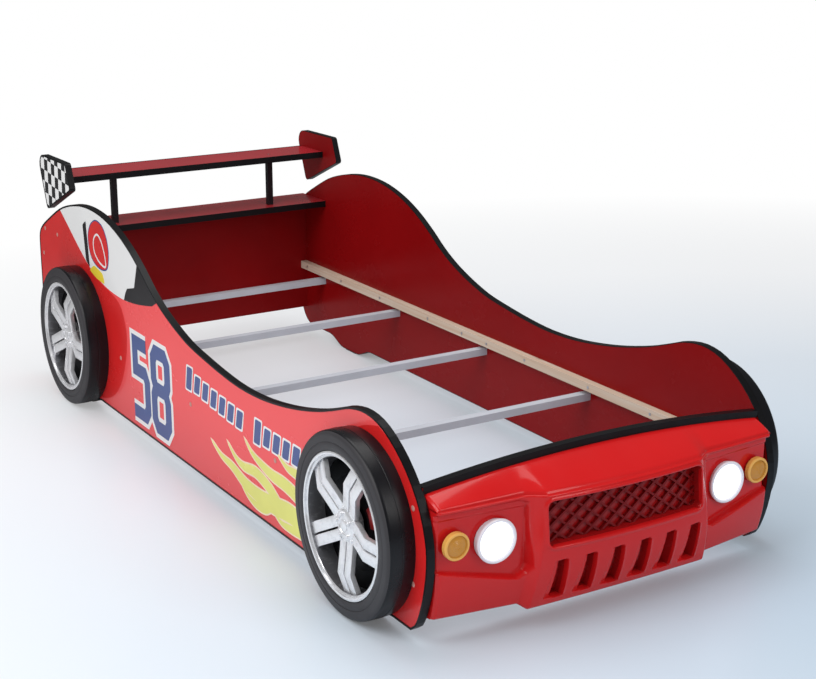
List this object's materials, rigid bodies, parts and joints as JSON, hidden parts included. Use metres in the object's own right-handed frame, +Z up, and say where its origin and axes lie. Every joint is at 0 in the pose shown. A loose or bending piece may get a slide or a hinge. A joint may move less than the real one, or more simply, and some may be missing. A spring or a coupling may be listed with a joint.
{
  "type": "toddler bed",
  "caption": "Child's bed shaped like a racing car, with printed side panels, moulded bumper with push lights, fixed wheels and a rear wing shelf.",
  "frame": {"origin": "centre of the bed's footprint, on the floor", "axes": "+X towards the left side of the car, -Y towards the bumper, +Z up"},
  "size_m": [1.091, 2.3985, 0.7189],
  "materials": {
    "printed_board": "glossy printed foil on board",
    "black_edging": "satin edging",
    "red_board": "satin red foil on board",
    "red_moulding": "high gloss",
    "grille_red": "gloss",
    "lamp_ring": "gloss",
    "lamp_lens": "frosted gloss",
    "grey_plastic": "moulded",
    "circuit_board": "lacquered",
    "battery": "sleeve",
    "steel": "zinc plated",
    "amber_lens": "ribbed gloss",
    "tyre_moulding": "black moulding",
    "bright_rim": "bright foil",
    "pine": "planed",
    "painted_bar": "satin powder coat",
    "black_post": "satin",
    "screw_cap": "push-on cap",
    "glide": "felt-faced"
  },
  "bodies": {
    "bed": {"side_panel_right": "printed_board", "side_panel_left": "printed_board", "panel_edging_right": "black_edging", "panel_edging_left": "black_edging", "headboard": "red_board", "shelf": "red_board", "shelf_edging": "black_edging", "front_board": "red_board", "front_board_edging": "black_edging", "bumper_shell": "red_moulding", "grille_mesh": "grille_red", "headlight_ring_right": "lamp_ring", "headlight_ring_left": "lamp_ring", "headlight_housing_right": "grey_plastic", "headlight_housing_left": "grey_plastic", "headlight_light_board_right": "circuit_board", "headlight_light_board_left": "circuit_board", "headlight_battery_pack_right": "battery", "headlight_battery_pack_left": "battery", "headlight_spring_right": "steel", "headlight_spring_left": "steel", "indicator_lens_right": "amber_lens", "indicator_lens_left": "amber_lens", "tyre_front_right": "tyre_moulding", "tyre_front_left": "tyre_moulding", "tyre_rear_right": "tyre_moulding", "tyre_rear_left": "tyre_moulding", "rim_front_right": "bright_rim", "rim_front_left": "bright_rim", "rim_rear_right": "bright_rim", "rim_rear_left": "bright_rim", "hub_cap_front_right": "bright_rim", "hub_cap_front_left": "bright_rim", "hub_cap_rear_right": "bright_rim", "hub_cap_rear_left": "bright_rim", "wheel_screws": "steel", "rail_rear_right": "pine", "rail_rear_left": "pine", "rail_front_right": "pine", "rail_front_left": "pine", "cross_bar_1": "painted_bar", "cross_bar_2": "painted_bar", "cross_bar_3": "painted_bar", "cross_bar_4": "painted_bar", "bar_end_plugs": "grey_plastic", "wing_board": "red_board", "wing_edging": "black_edging", "wing_post_right": "black_post", "wing_post_left": "black_post", "wing_end_plate_right": "red_board", "wing_end_plate_left": "red_board", "wing_plate_edging_right": "black_edging", "wing_plate_edging_left": "black_edging", "panel_screws": "screw_cap", "wood_screws": "steel", "bumper_screws": "steel", "foot_glides": "glide"},
    "headlight_right": {"headlight_lens_right": "lamp_lens"},
    "headlight_left": {"headlight_lens_left": "lamp_lens"}
  },
  "joints": [
    {"name": "headlight_press_right", "type": "slide", "parent": "bed", "child": "headlight_right", "axis": [0, 1, 0], "range_m": [0, 0.0025], "stiffness_N_per_m": 1500, "springref_m": -0.004, "deforming": ["headlight_spring_right"]},
    {"name": "headlight_press_left", "type": "slide", "parent": "bed", "child": "headlight_left", "axis": [0, 1, 0], "range_m": [0, 0.0025], "stiffness_N_per_m": 1500, "springref_m": -0.004, "deforming": ["headlight_spring_left"]}
  ]
}
